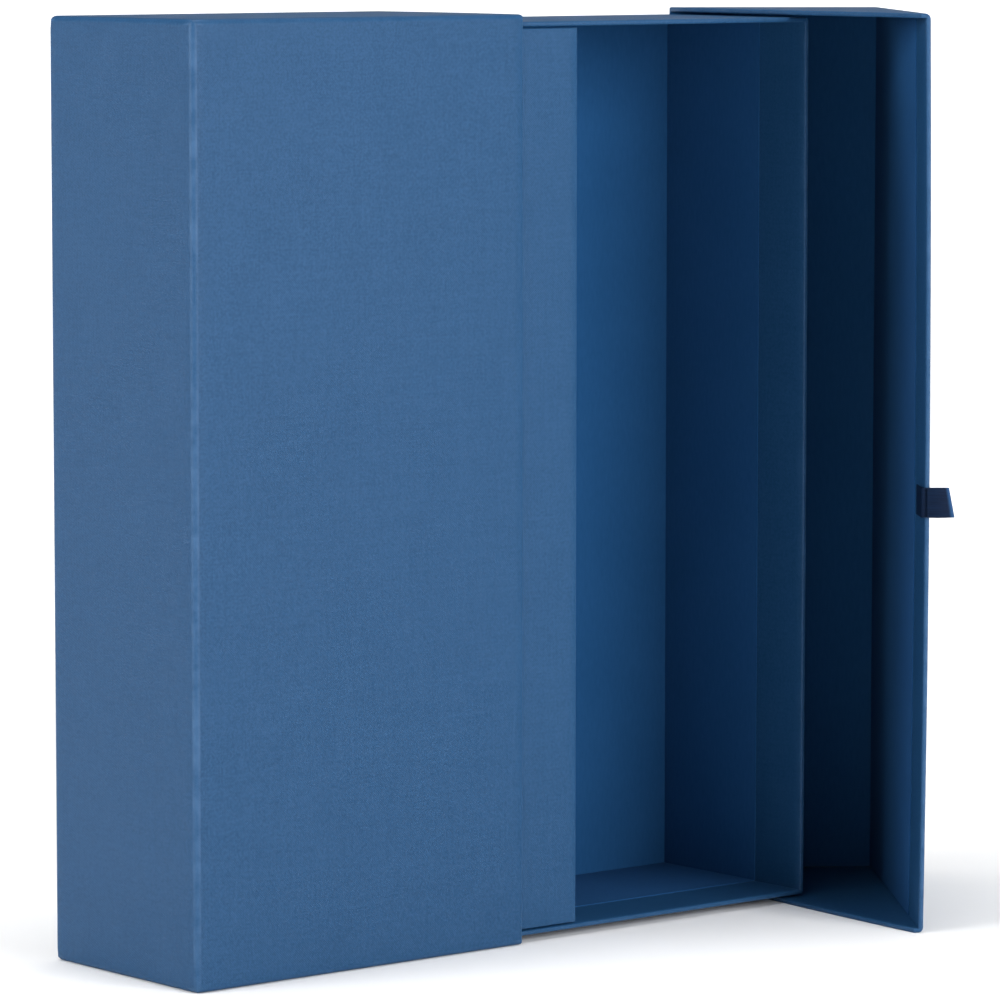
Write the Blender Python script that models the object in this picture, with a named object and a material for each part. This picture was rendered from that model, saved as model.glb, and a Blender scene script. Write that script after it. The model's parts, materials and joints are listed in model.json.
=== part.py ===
"""Cloth-covered document box with a hinged lid, standing on its end.

A fixed case holds the left half of an inner tray. The right half of the tray stands out of the case's mouth,
and an L-shaped lid with a cut-away gusset at its top and bottom swings over it on a cloth hinge.
Metres, +Z up. The box is laid out from its own left front bottom corner and then moved, so that the origin
is the centre of the case's underside. +X runs from the case to the lid, and the tray's open side faces -Y.
"""
import math

import bmesh
import bpy
from mathutils import Vector

# Overall sizes of the closed box
BOX_HEIGHT = 0.325
BOX_WIDTH = 0.281
BOX_DEPTH = 0.082
CASE_WIDTH = 0.142
LID_FRONT_WIDTH = 0.132

# Boards, cloth and paper
BOARD = 0.0017          # greyboard with its cloth
LINING = 0.0003         # lining paper
CLOTH = 0.0004          # hinge cloth
LINING_MARGIN = 0.0015  # board that a lining leaves bare round its edge
TURN_IN = 0.0245        # cloth turned over a rim, where a lining stops

# Clearances
FIT = 0.0009            # between the tray and the case or lid round it
TOUCH = 0.0003          # between two pieces that are glued face to face

# Front strip of the tray
STRIP_SHOWN = 0.0268    # beyond the case's mouth
STRIP_HIDDEN = 0.045    # behind the case's front
STRIP_SEAM = 0.0006     # above and below the strip

# Lid
LID_OPEN = math.radians(54)
GUSSET_TIP = 0.0034     # width left at both ends of a gusset's cut edge
GUSSET_BULGE = 0.002    # how far the cut edge bows out from a straight line
GUSSET_STEPS = 14
HINGE_LEAF = 0.020
HINGE_STAND_OFF = 0.001 # from the hinge line to where each leaf begins

# Pull ribbon, a loop on the lid's free edge
RIBBON_WIDTH = 0.0105
RIBBON_MIDDLE = 0.1535  # height of its middle
RIBBON_THICK = 0.0003
RIBBON_GLUED = 0.012    # length on the inside of the lid
RIBBON_OUT = 0.0088     # how far the loop stands out
RIBBON_BEND = 0.0009    # radius of its middle line at both bends
RIBBON_TURN_STEPS = 8

# Places that follow from the sizes above
TRAY_SET_IN = BOARD + FIT
TRAY_LEFT = TRAY_SET_IN
TRAY_RIGHT = BOX_WIDTH - TRAY_SET_IN
TRAY_FRONT = TRAY_SET_IN
TRAY_BACK = BOX_DEPTH - TRAY_SET_IN
TRAY_BOTTOM = TRAY_SET_IN
TRAY_TOP = BOX_HEIGHT - TRAY_SET_IN
STRIP_EDGE = CASE_WIDTH + STRIP_SHOWN
LID_EDGE = BOX_WIDTH - LID_FRONT_WIDTH
LID_BACK = TRAY_BACK - TOUCH
HINGE = Vector((TRAY_RIGHT + FIT / 2, TRAY_BACK, 0))
ORIGIN = Vector((CASE_WIDTH / 2, BOX_DEPTH / 2, 0))
MITRE_GAP = TOUCH / math.sqrt(2)  # in the plane of a face, for a gap of TOUCH across the mitre

# Colours (linear) and roughness
BOOK_CLOTH = ("book_cloth", (0.055, 0.122, 0.270), 0.75)
LINING_PAPER = ("lining_paper", (0.040, 0.105, 0.240), 0.8)
HINGE_CLOTH = ("hinge_cloth", (0.050, 0.110, 0.250), 0.75)
SATIN = ("satin_ribbon", (0.010, 0.020, 0.055), 0.4)


def clear_scene():
    for obj in list(bpy.data.objects):
        bpy.data.objects.remove(obj)


def material(kind):
    name, colour, roughness = kind
    found = bpy.data.materials.get(name)
    if found:
        return found
    made = bpy.data.materials.new(name)
    made.use_nodes = True
    shader = made.node_tree.nodes["Principled BSDF"]
    shader.inputs["Base Color"].default_value = (*colour, 1)
    shader.inputs["Roughness"].default_value = roughness
    shader.inputs["Metallic"].default_value = 0
    return made


def point(axis, level, u, v):
    """A point on the plane across axis at that level: (u, v) are the other two axes, in X, Y, Z order."""
    place = [u, v]
    place.insert("XYZ".index(axis), level)
    return Vector(place)


def slab(name, axis, levels, outlines, kind, parent):
    """A closed piece between two outlines with the same number of corners, one at each level along axis."""
    mesh = bmesh.new()
    rings = []
    for level, outline in zip(levels, outlines):
        rings.append([mesh.verts.new(point(axis, level, u, v) - parent.origin) for u, v in outline])
    low, high = rings
    count = len(low)
    mesh.faces.new(low)
    mesh.faces.new(high)
    for i in range(count):
        j = (i + 1) % count
        mesh.faces.new((low[i], low[j], high[j], high[i]))
    bmesh.ops.recalc_face_normals(mesh, faces=mesh.faces)
    data = bpy.data.meshes.new(name)
    mesh.to_mesh(data)
    mesh.free()
    data.materials.append(material(kind))
    obj = bpy.data.objects.new(name, data)
    bpy.context.scene.collection.objects.link(obj)
    obj.parent = parent.empty
    return obj


class Body:
    """Pieces that move together: an empty at origin, which the pieces' own coordinates start from."""

    def __init__(self, name, origin, turn=0.0):
        self.origin = origin
        self.empty = bpy.data.objects.new(name, None)
        self.empty.location = origin - ORIGIN
        self.empty.rotation_euler.z = turn
        bpy.context.scene.collection.objects.link(self.empty)


def rectangle(u0, u1, v0, v1):
    return [(u0, v0), (u1, v0), (u1, v1), (u0, v1)]


def mitred(name, axis, outer, inner, spans, mitres, body):
    """A board whose outer face fills spans, ((u0, u1), (v0, v1)). Its four edges, in the order of those numbers,
    are cut at 45 degrees where mitres is 1 and square where it is 0."""
    (u0, u1), (v0, v1) = spans
    left, right, low, high = mitres
    outlines = []
    for inset in (0, BOARD):
        cut = inset + MITRE_GAP
        outlines.append(rectangle(u0 + left * cut, u1 - right * cut, v0 + low * cut, v1 - high * cut))
    slab(name, axis, (outer, inner), outlines, BOOK_CLOTH, body)


def make_case(body):
    """Spine, front, back, top and bottom boards, open at the mouth."""
    width, depth, height = (0, CASE_WIDTH), (0, BOX_DEPTH), (0, BOX_HEIGHT)
    mitred("case_spine_board", "X", 0, BOARD, (depth, height), (1, 1, 1, 1), body)
    mitred("case_front_board", "Y", 0, BOARD, (width, height), (1, 0, 1, 1), body)
    mitred("case_back_board", "Y", BOX_DEPTH, BOX_DEPTH - BOARD, (width, height), (1, 0, 1, 1), body)
    mitred("case_bottom_board", "Z", 0, BOARD, (width, depth), (1, 0, 1, 1), body)
    mitred("case_top_board", "Z", BOX_HEIGHT, BOX_HEIGHT - BOARD, (width, depth), (1, 0, 1, 1), body)


def make_tray(body):
    """Back, top, bottom and both end boards, with a front strip between top and bottom."""
    width, depth, height = (TRAY_LEFT, TRAY_RIGHT), (TRAY_FRONT, TRAY_BACK), (TRAY_BOTTOM, TRAY_TOP)
    mitred("tray_back_board", "Y", TRAY_BACK, TRAY_BACK - BOARD, (width, height), (1, 1, 1, 1), body)
    mitred("tray_bottom_board", "Z", TRAY_BOTTOM, TRAY_BOTTOM + BOARD, (width, depth), (1, 1, 0, 1), body)
    mitred("tray_top_board", "Z", TRAY_TOP, TRAY_TOP - BOARD, (width, depth), (1, 1, 0, 1), body)
    mitred("tray_inner_end_board", "X", TRAY_LEFT, TRAY_LEFT + BOARD, (depth, height), (0, 1, 1, 1), body)
    mitred("tray_outer_end_board", "X", TRAY_RIGHT, TRAY_RIGHT - BOARD, (depth, height), (0, 1, 1, 1), body)
    strip = rectangle(
        CASE_WIDTH - STRIP_HIDDEN,
        STRIP_EDGE,
        TRAY_BOTTOM + BOARD + STRIP_SEAM,
        TRAY_TOP - BOARD - STRIP_SEAM,
    )
    slab("tray_front_strip", "Y", (TRAY_FRONT, TRAY_FRONT + BOARD), (strip, strip), BOOK_CLOTH, body)


def lining(name, axis, face, inward, spans, body):
    """A sheet on a board's inner face. inward is the direction that the face looks along axis."""
    near = face + inward * TOUCH
    sheet = rectangle(*spans[0], *spans[1])
    slab(name, axis, (near, near + inward * LINING), (sheet, sheet), LINING_PAPER, body)


def make_tray_linings(body):
    """Lining papers on the tray's back, top, bottom and outer end. They stop at the cloth turned over the rim."""
    bare = BOARD + LINING_MARGIN
    width = (TRAY_LEFT + bare, TRAY_RIGHT - bare)
    depth = (TRAY_FRONT + TURN_IN, TRAY_BACK - bare)
    height = (TRAY_BOTTOM + bare, TRAY_TOP - bare)
    lining("tray_back_lining", "Y", TRAY_BACK - BOARD, -1, (width, height), body)
    lining("tray_bottom_lining", "Z", TRAY_BOTTOM + BOARD, 1, (width, depth), body)
    lining("tray_top_lining", "Z", TRAY_TOP - BOARD, -1, (width, depth), body)
    lining("tray_end_lining", "X", TRAY_RIGHT - BOARD, -1, (depth, height), body)


def cut_edge():
    """The gusset's cut edge, an arc from the end board's back edge to the front board's free edge."""
    start = Vector((BOX_WIDTH - GUSSET_TIP, LID_BACK))
    end = Vector((LID_EDGE, GUSSET_TIP))
    chord = end - start
    half = chord.length / 2
    radius = (half**2 + GUSSET_BULGE**2) / (2 * GUSSET_BULGE)
    away = Vector((-chord.y, chord.x)).normalized()
    if away.x > 0:
        away = -away
    centre = start + chord / 2 - away * (radius - GUSSET_BULGE)
    sweep = math.asin(half / radius)
    along = chord.normalized()
    points = []
    for i in range(GUSSET_STEPS + 1):
        angle = sweep * (2 * i / GUSSET_STEPS - 1)
        points.append(centre + away * (radius * math.cos(angle)) + along * (radius * math.sin(angle)))
    return [(p.x, p.y) for p in points]


def gusset(name, outer, inner, body):
    """The lid's top or bottom: a triangle mitred to the front and end boards, with a cut third edge."""
    outlines = []
    for inset in (0, BOARD):
        cut = inset + MITRE_GAP
        front, end = cut, BOX_WIDTH - cut
        outlines.append([(LID_EDGE, front), (end, front), (end, LID_BACK), *cut_edge()])
    slab(name, "Z", (outer, inner), outlines, BOOK_CLOTH, body)


def make_lid(body):
    """End and front boards, two gussets and two linings, laid out closed. The body's empty turns them open."""
    height = (0, BOX_HEIGHT)
    mitred("lid_end_board", "X", BOX_WIDTH, BOX_WIDTH - BOARD, ((0, LID_BACK), height), (1, 0, 1, 1), body)
    mitred("lid_front_board", "Y", 0, BOARD, ((LID_EDGE, BOX_WIDTH), height), (0, 1, 1, 1), body)
    gusset("lid_bottom_gusset", 0, BOARD, body)
    gusset("lid_top_gusset", BOX_HEIGHT, BOX_HEIGHT - BOARD, body)
    bare = BOARD + LINING_MARGIN
    lined = (bare, BOX_HEIGHT - bare)
    lining("lid_end_lining", "X", BOX_WIDTH - BOARD, -1, ((bare, LID_BACK - LINING_MARGIN), lined), body)
    lining("lid_front_lining", "Y", BOARD, 1, ((LID_EDGE + TURN_IN, BOX_WIDTH - bare), lined), body)


def make_hinge(fixed, moving):
    """The two glued leaves of the hinge cloth, on the tray's back and on the lid's end."""
    height = (TRAY_BOTTOM + LINING_MARGIN, TRAY_TOP - LINING_MARGIN)
    back = TRAY_BACK + TOUCH
    fixed_leaf = rectangle(HINGE.x - HINGE_LEAF, TRAY_RIGHT - HINGE_STAND_OFF, *height)
    slab("hinge_cloth_tray_leaf", "Y", (back, back + CLOTH), (fixed_leaf, fixed_leaf), HINGE_CLOTH, fixed)
    side = BOX_WIDTH + TOUCH
    moving_leaf = rectangle(LID_BACK - HINGE_LEAF, LID_BACK - HINGE_STAND_OFF, *height)
    slab("hinge_cloth_lid_leaf", "X", (side, side + CLOTH), (moving_leaf, moving_leaf), HINGE_CLOTH, moving)


def ribbon_line():
    """The ribbon's middle line in plan: along the inside, out past the free edge, and back in a narrow loop."""
    inside = BOARD + TOUCH + RIBBON_THICK / 2
    out = LID_EDGE - TOUCH - RIBBON_THICK / 2
    bend = Vector((out + RIBBON_BEND, inside - RIBBON_BEND))
    tip = Vector((out - RIBBON_BEND, -RIBBON_OUT + RIBBON_BEND))
    line = [Vector((LID_EDGE + RIBBON_GLUED, inside))]
    for i in range(RIBBON_TURN_STEPS + 1):
        angle = math.pi / 2 * (1 + i / RIBBON_TURN_STEPS)
        line.append(bend + RIBBON_BEND * Vector((math.cos(angle), math.sin(angle))))
    for i in range(2 * RIBBON_TURN_STEPS + 1):
        angle = -math.pi / 2 * i / RIBBON_TURN_STEPS
        line.append(tip + RIBBON_BEND * Vector((math.cos(angle), math.sin(angle))))
    line.append(Vector((out - 2 * RIBBON_BEND, -BOARD)))
    return line


def make_ribbon(body):
    line = ribbon_line()
    sides = ([], [])
    for i, place in enumerate(line):
        before, after = line[max(i - 1, 0)], line[min(i + 1, len(line) - 1)]
        along = (after - before).normalized()
        across = Vector((-along.y, along.x)) * (RIBBON_THICK / 2)
        sides[0].append(place + across)
        sides[1].append(place - across)
    outline = [(p.x, p.y) for p in sides[0] + sides[1][::-1]]
    low = RIBBON_MIDDLE - RIBBON_WIDTH / 2
    slab("pull_ribbon", "Z", (low, low + RIBBON_WIDTH), (outline, outline), SATIN, body)


clear_scene()
box = Body("box_frame", Vector((0, 0, 0)))
lid = Body("lid_hinge_axis", HINGE, LID_OPEN)
make_case(box)
make_tray(box)
make_tray_linings(box)
make_lid(lid)
make_hinge(box, lid)
make_ribbon(lid)
bpy.context.view_layer.update()
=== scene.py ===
"""Looks of the cloth-covered document box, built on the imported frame. Metres, in the frame of the CAD.

Every board becomes a wrapped board in the same place: folded corners are rounded, rims are soft, and large
faces bow a little. The lid's pieces are made shut, where they lie along the axes, and then turned open with
their body.
"""
import json
import math

import bmesh
import bpy
from mathutils import Matrix, Vector
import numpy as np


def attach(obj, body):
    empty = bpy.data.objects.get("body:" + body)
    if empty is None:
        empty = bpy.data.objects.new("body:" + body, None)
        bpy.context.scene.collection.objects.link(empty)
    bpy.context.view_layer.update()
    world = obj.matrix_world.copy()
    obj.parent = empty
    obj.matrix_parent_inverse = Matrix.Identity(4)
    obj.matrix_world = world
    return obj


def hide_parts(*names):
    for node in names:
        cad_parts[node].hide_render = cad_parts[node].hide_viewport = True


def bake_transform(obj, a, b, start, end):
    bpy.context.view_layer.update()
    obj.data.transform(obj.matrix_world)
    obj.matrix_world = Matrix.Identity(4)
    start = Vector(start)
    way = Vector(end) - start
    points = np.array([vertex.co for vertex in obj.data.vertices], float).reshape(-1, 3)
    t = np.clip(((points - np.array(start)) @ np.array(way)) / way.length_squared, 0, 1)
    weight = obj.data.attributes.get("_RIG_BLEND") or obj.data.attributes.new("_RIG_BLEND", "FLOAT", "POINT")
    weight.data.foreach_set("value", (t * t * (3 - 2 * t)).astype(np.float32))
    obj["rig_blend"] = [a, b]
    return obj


X, Y, Z = range(3)

# Wrapped boards
GROW = 0.0003 / math.sqrt(2)  # closes the gap that the CAD leaves across a mitre
FOLD_RADIUS = 0.0022          # cloth round a folded corner
RIM_RADIUS = 0.0006           # cloth round a board's free edge
SUPPORT = 0.0034              # from a board's edge to the first line of its grid
GRID_STEP = 0.012
FLAT_WEAR_AND_HIGHLIGHT = 0.3               # how much rubbing and painted highlight the level folds and rims get, next to 1 for the upright ones
FOLD_ANGLES = (0, 15, 30, 40, 45)  # degrees round a fold, which set a board's levels
SHARP = math.radians(40)      # edges that turn more than this aren't shaded smooth
SOFT_ROUND = 1 - math.sqrt(0.5)  # share of a fold's radius where its round part meets the mitre
INNER_RIM_WEAR_AND_HIGHLIGHT = 0.35         # how much rubbing and painted highlight the half of a rim nearer the inside gets
TINY = 1e-6
SAME_LEVEL = 0.00005          # how far a corner may lie from a level and still count as on it
PARALLEL = 1e-4               # two sides that turn less than this run on in one line

# Lining paper, hinge cloth and ribbon
PAPER = 0.0003
PAPER_GAP = 0.00002
PAPER_GROW = 0.0012           # towards a fold, over the margin that the CAD leaves bare
HINGE_CLOTH = 0.0004
HINGE_STEPS = 27
LEAF_STEPS = 8
RIBBON_THICK = 0.00035
RIBBON_LOOP = 0.0016          # widest gap between the two layers of the loop
RIBBON_SLANT = 0.2            # how much longer the loop is low down, for each metre of width
RIBBON_PAINTED_SHEEN = 0.0014        # length of the painted sheen line at its folded end
RIBBON_BEND = 0.0009          # round the lid's edge
RIBBON_CLEAR = 0.0001         # between the ribbon and the lid's edge
RIBBON_FOLD = 0.55            # radius of the loop's folded end, next to that bend
RIBBON_SWELL = (0.25, 0.5)    # how much of the loop's gap its inner and outer layers take
RIBBON_STEPS = 8
RIBBON_GLUED_STEPS = 5
RIBBON_ROWS = 6
BEND_STEPS = 6

# Camera, from the centre of the case's underside
CAMERA_PLACE = Vector((-1.1737, -1.5265, 0.3605))
CAMERA_YAW = 0.6933           # from +Y towards +X
CAMERA_PITCH = 0.1047         # down
CAMERA_ROLL = 0.0006
CAMERA_LENS = 201.9
CAMERA_SENSOR = 36
CAMERA_CLIP = 100

# Stage
BOWL_FLAT = 2.4
BOWL_RADIUS = 3.4
BOWL_HEIGHT = 0.9
BOWL_STEP = 0.3               # between the rings of its flat middle
BOWL_SIDES = 96
SWEEP_RINGS = 10
GLOW_START = 0.2              # share of the flat middle where the glow starts
GLOW_SPREAD = 0.5             # share over which it grows to its full strength
STAGE_TONE = 0.95
STAGE_GLOW = 0.55

# Lights: place, point aimed at, width and height, watts
LIGHTS = {
    "front_softbox": ((0.35, -1.9, 0.75), (0.05, 0, 0.16), (0.9, 1.1), 37),
    "left_softbox": ((-1.9, 0.30, 0.95), (0, 0, 0.16), (0.9, 1.1), 33),
    "top_softbox": ((0.1, 0.1, 2.3), (0.1, 0, 0), (1.4, 1.4), 42),
}
WORLD_COLOUR = (0.93, 0.96, 1, 1)
WORLD_STRENGTH = 0.06

# Materials: gloss, and the spacing, shares and relief of their texture
CLOTH_ROUGH, CLOTH_SPECULAR = 0.46, 0.2
PAPER_ROUGH, PAPER_SPECULAR = 0.9, 0.2
SATIN_ROUGH, SATIN_SPECULAR = 0.66, 0.08
STAGE_ROUGH, STAGE_SPECULAR = 0.9, 0.1
WEAVE_PITCH = 0.00042
GRAIN_SCALE, MOTTLE_SCALE, SLUB_SCALE, PATCH_SCALE = 1400, 55, 60, 180
SLUB_STRETCH = 22
GRAIN_SHARE, MOTTLE_SHARE, SLUB_SHARE = 0.6, 0.12, 0.28
WEAVE_SHARE = 0.6             # of the cloth's relief, and grain is the rest
PATCH_LEAST = 0.25            # share of the rubbing and painted highlight left where the patches are weakest
CLOTH_RELIEF = (0.5, 0.00008)
FIBRE_SCALE, CLOUD_SCALE, FIBRE_SHARE = 900, 30, 0.6
FIBRE_STRETCH = (1, 1, 0.3)
PAPER_RELIEF = (0.25, 0.00005)
RIB_SCALE = 100
RIB_STRETCH = (1, 1, 45)
SATIN_RELIEF = (0.35, 0.00006)
STAGE_SCALE, STAGE_RANGE = 14, 0.01

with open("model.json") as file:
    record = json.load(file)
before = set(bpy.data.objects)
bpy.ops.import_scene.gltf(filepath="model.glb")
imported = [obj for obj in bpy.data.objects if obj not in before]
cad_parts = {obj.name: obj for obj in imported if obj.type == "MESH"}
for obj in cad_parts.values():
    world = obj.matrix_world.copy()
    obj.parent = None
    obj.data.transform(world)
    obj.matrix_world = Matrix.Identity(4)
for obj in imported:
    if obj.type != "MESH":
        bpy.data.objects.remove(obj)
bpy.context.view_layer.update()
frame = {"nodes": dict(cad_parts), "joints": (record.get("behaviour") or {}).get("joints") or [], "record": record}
hinge = frame["joints"][0]
pivot = Vector(hinge["pos_m"])
opened = math.radians(-hinge["range_deg"][0])
LID_TURN = Matrix.Translation(pivot) @ Matrix.Rotation(opened, 4, "Z") @ Matrix.Translation(-pivot)
LID_NODES = frame["record"]["behaviour"]["bodies"]["lid"]


def in_space(axis, level, u, v):
    """A point on the plane across axis, an index, with (u, v) on the other two axes in X, Y, Z order."""
    place = [u, v]
    place.insert(axis, level)
    return Vector(place)


def body_of(node):
    return "lid" if node in LID_NODES else "box"


def shut_points(node):
    """A node's points with the lid shut."""
    turn = LID_TURN.inverted() if node in LID_NODES else Matrix.Identity(4)
    return [turn @ v.co for v in frame["nodes"][node].data.vertices]


def shut_box(node):
    """A node's lowest and highest corners with the lid shut."""
    points = shut_points(node)
    return [Vector([pick(p[i] for p in points) for i in range(3)]) for pick in (min, max)]


# Materials

class Shader:
    """A Principled material and short ways to add nodes to it."""

    def __init__(self, name, roughness, specular):
        self.material = bpy.data.materials.new(name)
        self.material.use_nodes = True
        self.tree = self.material.node_tree
        self.main = self.tree.nodes["Principled BSDF"]
        self.main.inputs["Roughness"].default_value = roughness
        self.main.inputs["Specular IOR Level"].default_value = specular

    def link(self, source, target):
        self.tree.links.new(source, target)

    def put(self, target, value):
        """Links value into the socket if it is a socket, and sets it there otherwise."""
        if isinstance(value, bpy.types.NodeSocket):
            self.link(value, target)
        else:
            target.default_value = value

    def math(self, operation, first, second=0.0):
        node = self.tree.nodes.new("ShaderNodeMath")
        node.operation = operation
        self.put(node.inputs[0], first)
        self.put(node.inputs[1], second)
        return node.outputs[0]

    def coordinates(self, output="Object"):
        return self.tree.nodes.new("ShaderNodeTexCoord").outputs[output]

    def stretched(self, scale):
        node = self.tree.nodes.new("ShaderNodeMapping")
        self.link(self.coordinates(), node.inputs["Vector"])
        node.inputs["Scale"].default_value = scale
        return node.outputs["Vector"]

    def noise(self, scale, detail=2.0, stretch=(1, 1, 1)):
        node = self.tree.nodes.new("ShaderNodeTexNoise")
        self.link(self.stretched(stretch), node.inputs["Vector"])
        node.inputs["Scale"].default_value = scale
        node.inputs["Detail"].default_value = detail
        return node.outputs["Fac"]

    def range(self, value, low, high, out_low, out_high):
        node = self.tree.nodes.new("ShaderNodeMapRange")
        self.link(value, node.inputs["Value"])
        for name, number in zip(("From Min", "From Max", "To Min", "To Max"), (low, high, out_low, out_high)):
            node.inputs[name].default_value = number
        return node.outputs["Result"]

    def sum_of(self, *parts):
        """The sum of values, each times its share."""
        total = self.math("MULTIPLY", *parts[0])
        for part in parts[1:]:
            total = self.math("ADD", total, self.math("MULTIPLY", *part))
        return total

    def mix(self, share, first, second):
        node = self.tree.nodes.new("ShaderNodeMix")
        node.data_type = "RGBA"
        self.put(node.inputs["Factor"], share)
        self.put(node.inputs["A"], first)
        self.put(node.inputs["B"], second)
        return node.outputs["Result"]

    def attribute(self, name):
        node = self.tree.nodes.new("ShaderNodeAttribute")
        node.attribute_name = name
        return node.outputs["Fac"]

    def colour(self, value):
        self.put(self.main.inputs["Base Color"], value)

    def bump(self, height, strength, distance):
        node = self.tree.nodes.new("ShaderNodeBump")
        self.link(height, node.inputs["Height"])
        node.inputs["Strength"].default_value = strength
        node.inputs["Distance"].default_value = distance
        self.link(node.outputs["Normal"], self.main.inputs["Normal"])


def weave_height(shader, pitch):
    """A plain weave on the two axes across each face: threads cross over and under every pitch."""
    waves = []
    for output in ("Object", "Normal"):
        split = shader.tree.nodes.new("ShaderNodeSeparateXYZ")
        shader.link(shader.coordinates(output), split.inputs[0])
        waves.append([split.outputs[i] for i in range(3)])
    places, normals = waves
    sines = [shader.math("SINE", shader.math("MULTIPLY", place, math.pi / pitch)) for place in places]
    total = 0.0
    for i in range(3):
        crossing = shader.math("MULTIPLY", sines[i - 2], sines[i - 1])
        facing = shader.math("MULTIPLY", normals[i], normals[i])
        total = shader.math("ADD", shader.math("MULTIPLY", crossing, facing), total)
    return total


def slub_tone(shader):
    """Thicker threads here and there, along all three axes, as one tone about a half."""
    total = 0.0
    for axis in range(3):
        stretch = in_space(axis, 1, SLUB_STRETCH, SLUB_STRETCH)
        total = shader.math("ADD", shader.noise(SLUB_SCALE, 1.0, stretch), total)
    return shader.math("DIVIDE", total, 3.0)


def cloth_material(name, deep, light, worn_and_highlit):
    """Book cloth: weave, slubs, fine grain and broad mottling, with its folded edges lighter, partly from rubbing
    and partly a painted highlight.
    """
    shader = Shader(name, CLOTH_ROUGH, CLOTH_SPECULAR)
    grain = shader.range(shader.noise(GRAIN_SCALE, 3.0), 0.35, 0.65, 0, 1)
    mottle = shader.range(shader.noise(MOTTLE_SCALE, 4.0), 0.3, 0.7, 0, 1)
    slubs = shader.range(slub_tone(shader), 0.4, 0.6, 0, 1)
    tone = shader.sum_of((grain, GRAIN_SHARE), (mottle, MOTTLE_SHARE), (slubs, SLUB_SHARE))
    base = shader.mix(tone, deep, light)
    # Lighter folded edges: partly rubbing, partly a painted highlight, broken up into patches.
    patches = shader.range(shader.noise(PATCH_SCALE, 3.0), 0.35, 0.7, PATCH_LEAST, 1)
    rubbed_and_highlit = shader.math("MULTIPLY", shader.attribute("wear_and_highlight"), patches)
    shader.colour(shader.mix(rubbed_and_highlit, base, worn_and_highlit))
    height = shader.sum_of((weave_height(shader, WEAVE_PITCH), WEAVE_SHARE), (grain, 1 - WEAVE_SHARE))
    shader.bump(height, *CLOTH_RELIEF)
    return shader.material


def paper_material(name, deep, light):
    """Uncoated lining paper: short fibres and faint clouds."""
    shader = Shader(name, PAPER_ROUGH, PAPER_SPECULAR)
    fibres = shader.noise(FIBRE_SCALE, 4.0, FIBRE_STRETCH)
    tone = shader.sum_of((fibres, FIBRE_SHARE), (shader.noise(CLOUD_SCALE, 3.0), 1 - FIBRE_SHARE))
    shader.colour(shader.mix(shader.range(tone, 0.35, 0.65, 0, 1), deep, light))
    shader.bump(fibres, *PAPER_RELIEF)
    return shader.material


def satin_material(name, deep, light, painted_sheen):
    """Woven satin: fine ribs along the ribbon, and a painted sheen line where it folds."""
    shader = Shader(name, SATIN_ROUGH, SATIN_SPECULAR)
    ribs = shader.noise(RIB_SCALE, 2.0, RIB_STRETCH)
    base = shader.mix(shader.range(ribs, 0.3, 0.7, 0, 1), deep, light)
    shader.colour(shader.mix(shader.attribute("wear_and_highlight"), base, painted_sheen))
    shader.bump(ribs, *SATIN_RELIEF)
    return shader.material


def stage_material(name):
    """Pale floor with faint grain, which glows towards its rim as a lit studio sweep does."""
    shader = Shader(name, STAGE_ROUGH, STAGE_SPECULAR)
    grain = shader.range(shader.noise(STAGE_SCALE, 3.0), 0.3, 0.7, STAGE_TONE - STAGE_RANGE, STAGE_TONE)
    node = shader.tree.nodes.new("ShaderNodeCombineColor")
    for i in range(3):
        shader.link(grain, node.inputs[i])
    shader.colour(node.outputs[0])
    shader.main.inputs["Emission Color"].default_value = (1, 1, 1, 1)
    strength = shader.math("MULTIPLY", shader.attribute("glow"), STAGE_GLOW)
    shader.link(strength, shader.main.inputs["Emission Strength"])
    return shader.material


# The third colour of each cloth is its lighter edge: partly rubbing, partly a painted highlight.
BOOK_CLOTH = cloth_material(
    "book_cloth_woven", (0.0060, 0.046, 0.118, 1), (0.0170, 0.069, 0.162, 1), (0.036, 0.096, 0.200, 1))
FOLD_CLOTH = cloth_material(
    "hinge_cloth_woven", (0.0055, 0.043, 0.112, 1), (0.0160, 0.065, 0.155, 1), (0.034, 0.090, 0.190, 1))
LINING = paper_material("lining_paper_fibres", (0.0070, 0.060, 0.170, 1), (0.0105, 0.070, 0.192, 1))
# The satin's third colour is a painted sheen on its folded end.
SATIN = satin_material(
    "satin_ribs", (0.0010, 0.0050, 0.0180, 1), (0.0030, 0.0125, 0.0370, 1), (0.018, 0.060, 0.150, 1))
STAGE = stage_material("stage_paper")


# Mesh helpers

def placed(name, data):
    """A new object of that data, in the scene."""
    obj = bpy.data.objects.new(name, data)
    bpy.context.scene.collection.objects.link(obj)
    return obj


def object_of(name, mesh, kind):
    """Turns a bmesh into an object of that material."""
    data = bpy.data.meshes.new(name)
    mesh.to_mesh(data)
    mesh.free()
    data.materials.append(kind)
    return placed(name, data)


def finish_piece(name, mesh, kind, node):
    """Turns a bmesh into a piece that rides on its node's body and stands for the node."""
    bmesh.ops.recalc_face_normals(mesh, faces=mesh.faces)
    for edge in mesh.edges:
        if edge.calc_face_angle(0) > SHARP:
            edge.smooth = False
    obj = object_of(name, mesh, kind)
    if node in LID_NODES:
        obj.matrix_world = LID_TURN
    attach(obj, body_of(node))
    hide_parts(node)


def fold_inset(depth):
    """How far a folded side lies inside its outline: a round corner, then the mitre behind it."""
    if depth < FOLD_RADIUS * SOFT_ROUND - TINY:
        return FOLD_RADIUS - math.sqrt(FOLD_RADIUS**2 - (FOLD_RADIUS - depth) ** 2)
    return depth


def rim_inset(depth, thickness):
    """How far a free side lies inside its outline: both of its edges are round."""
    near = min(depth, thickness - depth)
    if near > RIM_RADIUS:
        return 0.0
    return RIM_RADIUS - math.sqrt(RIM_RADIUS**2 - (RIM_RADIUS - near) ** 2)


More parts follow.
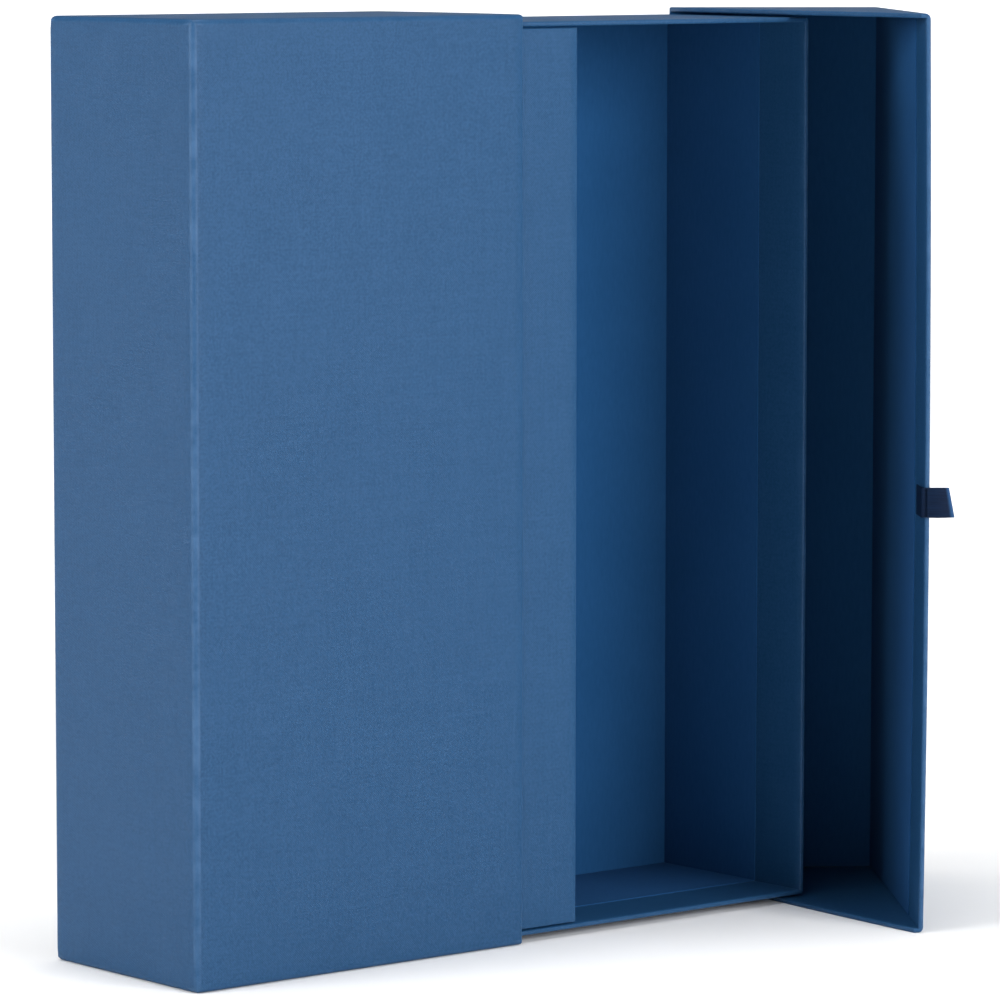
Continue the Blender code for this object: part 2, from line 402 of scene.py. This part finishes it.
def board_depths(thickness):
    """Depths of a board's levels: they follow the round of a fold near each of its faces."""
    outer = [FOLD_RADIUS * (1 - math.cos(math.radians(angle))) for angle in FOLD_ANGLES]
    return outer + [thickness - depth for depth in reversed(outer)]


def grid_shares(length):
    """Shares of a side where its grid lines lie: one close to each end and even steps between."""
    edge = SUPPORT / length
    count = max(2, round(length / GRID_STEP))
    return [0.0] + [edge + (1 - 2 * edge) * i / count for i in range(count + 1)] + [1.0]


def rise(share, low_folded, high_folded):
    """A bow's height along one direction: nothing at a folded side, and most at a free one."""
    if low_folded and high_folded:
        return 4 * share * (1 - share)
    if low_folded:
        return 1 - (1 - share) ** 2
    return 1 - share**2


class Board:
    """Where a rectangular board lies: its thin axis, its outer face's level and which sides are folded."""

    def __init__(self, node, axis, outer_high, folded, bow):
        self.node, self.axis, self.folded, self.bow = node, axis, folded, bow
        low, high = shut_box(node)
        self.outer = high[axis] if outer_high else low[axis]
        self.inward = -1 if outer_high else 1
        self.thickness = high[axis] - low[axis]
        self.across = [i for i in range(3) if i != axis]
        self.spans = []
        for i, a in enumerate(self.across):
            self.spans.append((low[a] - GROW * folded[2 * i], high[a] + GROW * folded[2 * i + 1]))

    def rounded(self, depth, u, v):
        """The same point, moved onto the ball that rounds a corner where three folded boards meet."""
        near_low = []
        distances = []
        all_folded = True
        for i, place in enumerate((u, v)):
            start, end = self.spans[i]
            low_side = place - start < end - place
            near_low.append(low_side)
            distances.append(place - start if low_side else end - place)
            all_folded = all_folded and self.folded[2 * i + (not low_side)]
        offset = Vector([FOLD_RADIUS - distance for distance in distances + [depth]])
        if not all_folded or min(offset) <= 0 or offset.length <= FOLD_RADIUS:
            return depth, u, v
        offset *= FOLD_RADIUS / offset.length
        moved = []
        for i, low_side in enumerate(near_low):
            start, end = self.spans[i]
            inside = FOLD_RADIUS - offset[i]
            moved.append(start + inside if low_side else end - inside)
        return FOLD_RADIUS - offset[2], moved[0], moved[1]

    def bowed(self, depth, u, v):
        """A point at that depth behind the outer face, moved by the board's bow."""
        depth, u, v = self.rounded(depth, u, v)
        rises = []
        for i, place in enumerate((u, v)):
            start, end = self.spans[i]
            share = min(max((place - start) / (end - start), 0), 1)
            rises.append(rise(share, *self.folded[2 * i:2 * i + 2]))
        level = self.outer + self.inward * (depth - self.bow * rises[0] * rises[1])
        return in_space(self.axis, level, u, v)

    def inset(self, side, depth):
        return fold_inset(depth) if self.folded[side] else rim_inset(depth, self.thickness)


def loft_levels(mesh, rings):
    """Joins each ring of points to the next one."""
    for near, far in zip(rings, rings[1:]):
        for i in range(len(near)):
            j = (i + 1) % len(near)
            mesh.faces.new((near[i], near[j], far[j], far[i])).smooth = True


def ring_of(table):
    """The points round a grid's edge, in order."""
    first, last = table[0], table[-1]
    middle = table[1:-1]
    return first + [row[-1] for row in middle] + last[::-1] + [row[0] for row in middle[::-1]]


def grid_faces(mesh, table):
    """Faces between the rows of a grid of points."""
    for row, after in zip(table, table[1:]):
        for i in range(len(row) - 1):
            mesh.faces.new((row[i], row[i + 1], after[i + 1], after[i])).smooth = True


def level_table(mesh, board, depth, shares, only_edge, wear_and_highlight_layer, wear_and_highlight):
    """Points of a board at one depth, as rows. Only the edge's points are made where only_edge says so."""
    spans = []
    for i, (start, end) in enumerate(board.spans):
        spans.append((start + board.inset(2 * i, depth), end - board.inset(2 * i + 1, depth)))
    table = []
    for j, t in enumerate(shares[1]):
        row = []
        for i, s in enumerate(shares[0]):
            on_edge = i in (0, len(shares[0]) - 1) or j in (0, len(shares[1]) - 1)
            if only_edge and not on_edge:
                row.append(None)
                continue
            u = spans[0][0] + s * (spans[0][1] - spans[0][0])
            v = spans[1][0] + t * (spans[1][1] - spans[1][0])
            vertex = mesh.verts.new(board.bowed(depth, u, v))
            # Upright folds and rims get the full rubbing and painted highlight, level ones a share of it.
            upright = i in (0, len(shares[0]) - 1) and board.axis != Z
            vertex[wear_and_highlight_layer] = wear_and_highlight * (1.0 if upright else FLAT_WEAR_AND_HIGHLIGHT) if on_edge else 0.0
            row.append(vertex)
        table.append(row)
    return table


def wrapped_board(board):
    """A covered board: grids on both faces, joined by rings that round its folds and rims."""
    mesh = bmesh.new()
    wear_and_highlight_layer = mesh.verts.layers.float.new("wear_and_highlight")
    shares = [grid_shares(end - start) for start, end in board.spans]
    depths = board_depths(board.thickness)
    rings = []
    for k, depth in enumerate(depths):
        face = k in (0, len(depths) - 1)
        # Rubbing and painted highlight: full on the outer half of the rounds, weaker on the inner half, none on
        # the outer face.
        wear_and_highlight = 1.0 if k < len(depths) / 2 else INNER_RIM_WEAR_AND_HIGHLIGHT
        table = level_table(mesh, board, depth, shares, not face, wear_and_highlight_layer, wear_and_highlight if k else 0.0)
        if face:
            grid_faces(mesh, table)
        rings.append(ring_of(table))
    loft_levels(mesh, rings)
    name = board.node.replace("_board", "_covered").replace("front_strip", "front_strip_covered")
    finish_piece(name, mesh, BOOK_CLOTH, board.node)


def lining_paper(node, board):
    """Paper on a board's inner face, following its bow."""
    mesh = bmesh.new()
    low, high = shut_box(node)
    spans = []
    for i, a in enumerate(board.across):
        near = [abs(place - edge) < FOLD_RADIUS * 2 for place, edge in zip((low[a], high[a]), board.spans[i])]
        spans.append((low[a] - PAPER_GROW * near[0], high[a] + PAPER_GROW * near[1]))
    shares = [grid_shares(end - start) for start, end in spans]
    rings = []
    for depth in (board.thickness + PAPER_GAP, board.thickness + PAPER_GAP + PAPER):
        table = []
        for t in shares[1]:
            v = spans[1][0] + t * (spans[1][1] - spans[1][0])
            table.append([
                mesh.verts.new(board.bowed(depth, spans[0][0] + s * (spans[0][1] - spans[0][0]), v))
                for s in shares[0]
            ])
        grid_faces(mesh, table)
        rings.append(ring_of(table))
    loft_levels(mesh, rings)
    finish_piece(node + "_paper", mesh, LINING, node)


# The gussets, triangles with one cut edge

def outline_of(node, level):
    """A node's corners at that height, in order round its middle."""
    found = {}
    for p in shut_points(node):
        if abs(p.z - level) < SAME_LEVEL:
            found[(round(p.x, 6), round(p.y, 6))] = Vector((p.x, p.y))
    points = list(found.values())
    middle = sum(points, Vector((0, 0))) / len(points)
    return sorted(points, key=lambda p: math.atan2(p.y - middle.y, p.x - middle.x))


def moved_in(points, distances):
    """A convex outline, anticlockwise, with each side moved inwards by its distance."""
    lines = []
    for i, point in enumerate(points):
        along = (points[(i + 1) % len(points)] - point).normalized()
        inward = Vector((-along.y, along.x))
        lines.append((inward, inward.dot(point) + distances[i]))
    moved = []
    for i, point in enumerate(points):
        (n0, c0), (n1, c1) = lines[i - 1], lines[i]
        turn = n0.x * n1.y - n0.y * n1.x
        if abs(turn) < PARALLEL:
            moved.append(point + n1 * distances[i])
        else:
            moved.append(Vector((c0 * n1.y - c1 * n0.y, n0.x * c1 - n1.x * c0)) / turn)
    return moved


def gusset(node, outer_high):
    """A covered triangle: folded to the lid's front and end, with a soft rim along its cut edge."""
    low, high = shut_box(node)
    outer, inward = (high.z, -1) if outer_high else (low.z, 1)
    thickness = high.z - low.z
    corners = outline_of(node, outer)
    folded = []
    for point, after in zip(corners, corners[1:] + corners[:1]):
        on_front = max(point.y, after.y) < low.y + TINY
        on_end = min(point.x, after.x) > high.x - TINY
        folded.append(on_front or on_end)
    mesh = bmesh.new()
    wear_and_highlight_layer = mesh.verts.layers.float.new("wear_and_highlight")
    rings = []
    for k, depth in enumerate(board_depths(thickness)):
        distances = [fold_inset(depth) - GROW if f else rim_inset(depth, thickness) for f in folded]
        ring = []
        for p in moved_in(corners, distances):
            vertex = mesh.verts.new((p.x, p.y, outer + inward * depth))
            # The gusset's rounds take the level share of rubbing and painted highlight, and its outer face none.
            vertex[wear_and_highlight_layer] = 0.0 if k == 0 else FLAT_WEAR_AND_HIGHLIGHT
            ring.append(vertex)
        rings.append(ring)
    loft_levels(mesh, rings)
    for ring in (rings[0], rings[-1]):
        rim = [mesh.verts.new(v.co) for v in ring]
        mesh.faces.new(rim)
    finish_piece(node + "_covered", mesh, BOOK_CLOTH, node)


# Bands: a strip of cloth that stands on edge and follows a line in plan

def band_mesh(line, low, high, steps, thickness, move):
    """A closed band of that thickness along line, from low to high, with each point adjusted by move."""
    mesh = bmesh.new()
    mesh.verts.layers.float.new("wear_and_highlight")
    skins = []
    for side in (-0.5, 0.5):
        table = []
        for i, place in enumerate(line):
            before, after = line[max(i - 1, 0)], line[min(i + 1, len(line) - 1)]
            along = (after - before).normalized()
            edge = place + Vector((-along.y, along.x)) * thickness * side
            row = []
            for k in range(steps + 1):
                z = low + (high - low) * k / steps
                row.append(mesh.verts.new(move(Vector((edge.x, edge.y, z)))))
            table.append(row)
        grid_faces(mesh, table)
        skins.append(ring_of(table))
    loft_levels(mesh, skins)
    return mesh


def arc(centre, radius, start, end):
    """Points round an arc, from the start angle to the end angle."""
    points = []
    for i in range(BEND_STEPS + 1):
        angle = start + (end - start) * i / BEND_STEPS
        points.append(centre + radius * Vector((math.cos(angle), math.sin(angle))))
    return points


def flat_run(start, end, steps):
    """Points from start towards end, without the end."""
    return [start.lerp(end, i / steps) for i in range(steps)]


def hinge_cloth():
    """One strip over both leaves: along the tray's back, across the gap, round the lid's edge and its end."""
    half = HINGE_CLOTH / 2
    tray_high = shut_box("tray_back_board")[1]
    leaf_low, leaf_high = shut_box("hinge_cloth_tray_leaf")
    lid_low, lid_high = shut_box("lid_end_board")
    lid_leaf_low = shut_box("hinge_cloth_lid_leaf")[0]
    back = tray_high.y + half
    gap_start = Vector((tray_high.x, back))
    line = flat_run(Vector((leaf_low.x, back)), gap_start, LEAF_STEPS) + [gap_start]
    bend = RIM_RADIUS + half
    corner = Vector((lid_high.x + half - bend, lid_high.y + half - bend))
    leaf_end = Vector((lid_high.x + half, lid_leaf_low.y))
    lid_line = [Vector((lid_low.x, lid_high.y + half))] + arc(corner, bend, math.pi / 2, 0)
    lid_line += flat_run(lid_line[-1], leaf_end, LEAF_STEPS)[1:] + [leaf_end]
    for place in lid_line:
        turned = LID_TURN @ Vector((place.x, place.y, 0))
        line.append(turned.xy)
    mesh = band_mesh(line, leaf_low.z, leaf_high.z, HINGE_STEPS, HINGE_CLOTH, lambda place: place)
    bmesh.ops.recalc_face_normals(mesh, faces=mesh.faces)
    obj = object_of("hinge_cloth_strip", mesh, FOLD_CLOTH)
    fold_end = LID_TURN @ Vector((lid_low.x, lid_high.y, 0))
    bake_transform(obj, "box", "lid", start=(tray_high.x, tray_high.y, 0), end=tuple(fold_end))
    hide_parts("hinge_cloth_tray_leaf", "hinge_cloth_lid_leaf")


def pull_ribbon():
    """A loop of satin from the inside of the lid, round its free edge, out and back."""
    node = "pull_ribbon"
    low, high = shut_box(node)
    board_low, board_high = shut_box("lid_front_board")
    half = RIBBON_THICK / 2
    inside = board_high.y + half + PAPER_GAP
    out = board_low.x - half - RIBBON_CLEAR
    turn = Vector((out + RIBBON_BEND, inside - RIBBON_BEND))
    reach = low.y + RIBBON_BEND
    fold = RIBBON_BEND * RIBBON_FOLD

    def layer(x, start, end, swell, steps):
        """Points along one layer of the loop, which swells sideways in its middle."""
        shares = [i / RIBBON_STEPS for i in steps]
        return [Vector((x + swell * math.sin(math.pi * t), start + (end - start) * t)) for t in shares]

    inner, outer = (RIBBON_LOOP * share for share in RIBBON_SWELL)
    line = flat_run(Vector((high.x, inside)), Vector((turn.x, inside)), RIBBON_GLUED_STEPS)
    line += arc(turn, RIBBON_BEND, math.pi / 2, math.pi)
    line += layer(out, turn.y, reach, inner, range(1, RIBBON_STEPS))
    line += arc(Vector((out - fold, reach)), fold, 0, -math.pi)
    line += layer(out - 2 * fold, reach, board_low.y, -outer, range(1, RIBBON_STEPS + 1))
    middle = (low.z + high.z) / 2

    def slanted(place):
        """Outside the lid the loop grows longer downwards, so its folded end slants."""
        outside = min(max((board_low.y - place.y) / (board_low.y - low.y), 0), 1)
        return place + Vector((0, RIBBON_SLANT * (place.z - middle) * outside, 0))

    mesh = band_mesh(line, low.z, high.z, RIBBON_ROWS, RIBBON_THICK, slanted)
    wear_and_highlight_layer = mesh.verts.layers.float["wear_and_highlight"]
    # A painted sheen line along the loop's folded end.
    for vertex in mesh.verts:
        slope = RIBBON_SLANT * (vertex.co.z - middle)
        vertex[wear_and_highlight_layer] = 1.0 if vertex.co.y - slope < low.y + RIBBON_PAINTED_SHEEN else 0.0
    finish_piece("pull_ribbon_satin", mesh, SATIN, node)


# Boards: node, thin axis, whether its outer face is on the high side, folded sides, bow outwards
BOARDS = [
    ("case_spine_board", X, False, (1, 1, 1, 1), 0.0002),
    ("case_front_board", Y, False, (1, 0, 1, 1), 0.0003),
    ("case_back_board", Y, True, (1, 0, 1, 1), 0.0003),
    ("case_bottom_board", Z, False, (1, 0, 1, 1), 0.0),
    ("case_top_board", Z, True, (1, 0, 1, 1), 0.0001),
    ("tray_back_board", Y, True, (1, 1, 1, 1), 0.0002),
    ("tray_bottom_board", Z, False, (1, 1, 0, 1), 0.0),
    ("tray_top_board", Z, True, (1, 1, 0, 1), 0.0),
    ("tray_inner_end_board", X, False, (0, 1, 1, 1), 0.0),
    ("tray_outer_end_board", X, True, (0, 1, 1, 1), 0.0003),
    ("tray_front_strip", Y, False, (0, 0, 0, 0), 0.0),
    ("lid_end_board", X, True, (1, 0, 1, 1), 0.0002),
    ("lid_front_board", Y, False, (0, 1, 1, 1), 0.001),
]
LININGS = {
    "tray_back_lining": "tray_back_board",
    "tray_bottom_lining": "tray_bottom_board",
    "tray_top_lining": "tray_top_board",
    "tray_end_lining": "tray_outer_end_board",
    "lid_end_lining": "lid_end_board",
    "lid_front_lining": "lid_front_board",
}


def make_camera():
    """The camera that was fitted to the photograph."""
    forward = Vector((
        math.sin(CAMERA_YAW) * math.cos(CAMERA_PITCH),
        math.cos(CAMERA_YAW) * math.cos(CAMERA_PITCH),
        -math.sin(CAMERA_PITCH),
    ))
    level = Vector((math.cos(CAMERA_YAW), -math.sin(CAMERA_YAW), 0))
    upright = level.cross(forward)
    right = level * math.cos(CAMERA_ROLL) + upright * math.sin(CAMERA_ROLL)
    up = upright * math.cos(CAMERA_ROLL) - level * math.sin(CAMERA_ROLL)
    data = bpy.data.cameras.new("photo_camera")
    data.sensor_width = CAMERA_SENSOR
    data.lens = CAMERA_LENS
    data.clip_end = CAMERA_CLIP
    camera = placed("photo_camera", data)
    turn = Matrix((right, up, -forward)).transposed().to_4x4()
    camera.matrix_world = Matrix.Translation(CAMERA_PLACE) @ turn
    bpy.context.scene.camera = camera


def area_light(name, place, aim, size, watts):
    """A white softbox at that place, turned to the point it is aimed at."""
    data = bpy.data.lights.new(name, "AREA")
    data.shape = "RECTANGLE"
    data.size, data.size_y = size
    data.energy = watts
    light = placed(name, data)
    light.location = place
    light.rotation_euler = (Vector(aim) - Vector(place)).to_track_quat("-Z", "Y").to_euler()


def make_stage():
    """A shallow bowl: a flat floor whose rim sweeps up, so every view round the box ends on it."""
    mesh = bmesh.new()
    glow = mesh.verts.layers.float.new("glow")
    rings = []
    profile = []
    for i in range(1, round(BOWL_FLAT / BOWL_STEP) + 1):
        share = max(0.0, BOWL_STEP * i / BOWL_FLAT - GLOW_START) / GLOW_SPREAD
        profile.append((BOWL_STEP * i, 0.0, share))
    sweep = BOWL_RADIUS - BOWL_FLAT
    for i in range(1, SWEEP_RINGS + 1):
        angle = math.pi / 2 * i / SWEEP_RINGS
        profile.append((BOWL_FLAT + sweep * math.sin(angle), BOWL_HEIGHT * (1 - math.cos(angle)), 1.0))
    for radius, height, share in profile:
        ring = []
        for k in range(BOWL_SIDES):
            angle = math.tau * k / BOWL_SIDES
            vertex = mesh.verts.new((radius * math.cos(angle), radius * math.sin(angle), height))
            vertex[glow] = min(share, 1.0)
            ring.append(vertex)
        rings.append(ring)
    mesh.faces.new(rings[0])
    loft_levels(mesh, rings)
    object_of("studio_floor", mesh, STAGE)


def make_light():
    """The three softboxes and a little light from all round."""
    world = bpy.data.worlds.new("studio_world")
    bpy.context.scene.world = world
    world.use_nodes = True
    background = world.node_tree.nodes["Background"]
    background.inputs["Color"].default_value = WORLD_COLOUR
    background.inputs["Strength"].default_value = WORLD_STRENGTH
    for name, values in LIGHTS.items():
        area_light(name, *values)


make_camera()
boards = {}
for spec in BOARDS:
    boards[spec[0]] = Board(*spec)
    wrapped_board(boards[spec[0]])
for node, board_name in LININGS.items():
    lining_paper(node, boards[board_name])
gusset("lid_bottom_gusset", False)
gusset("lid_top_gusset", True)
hinge_cloth()
pull_ribbon()
make_stage()
make_light()
bpy.context.scene.view_settings.view_transform = "Standard"
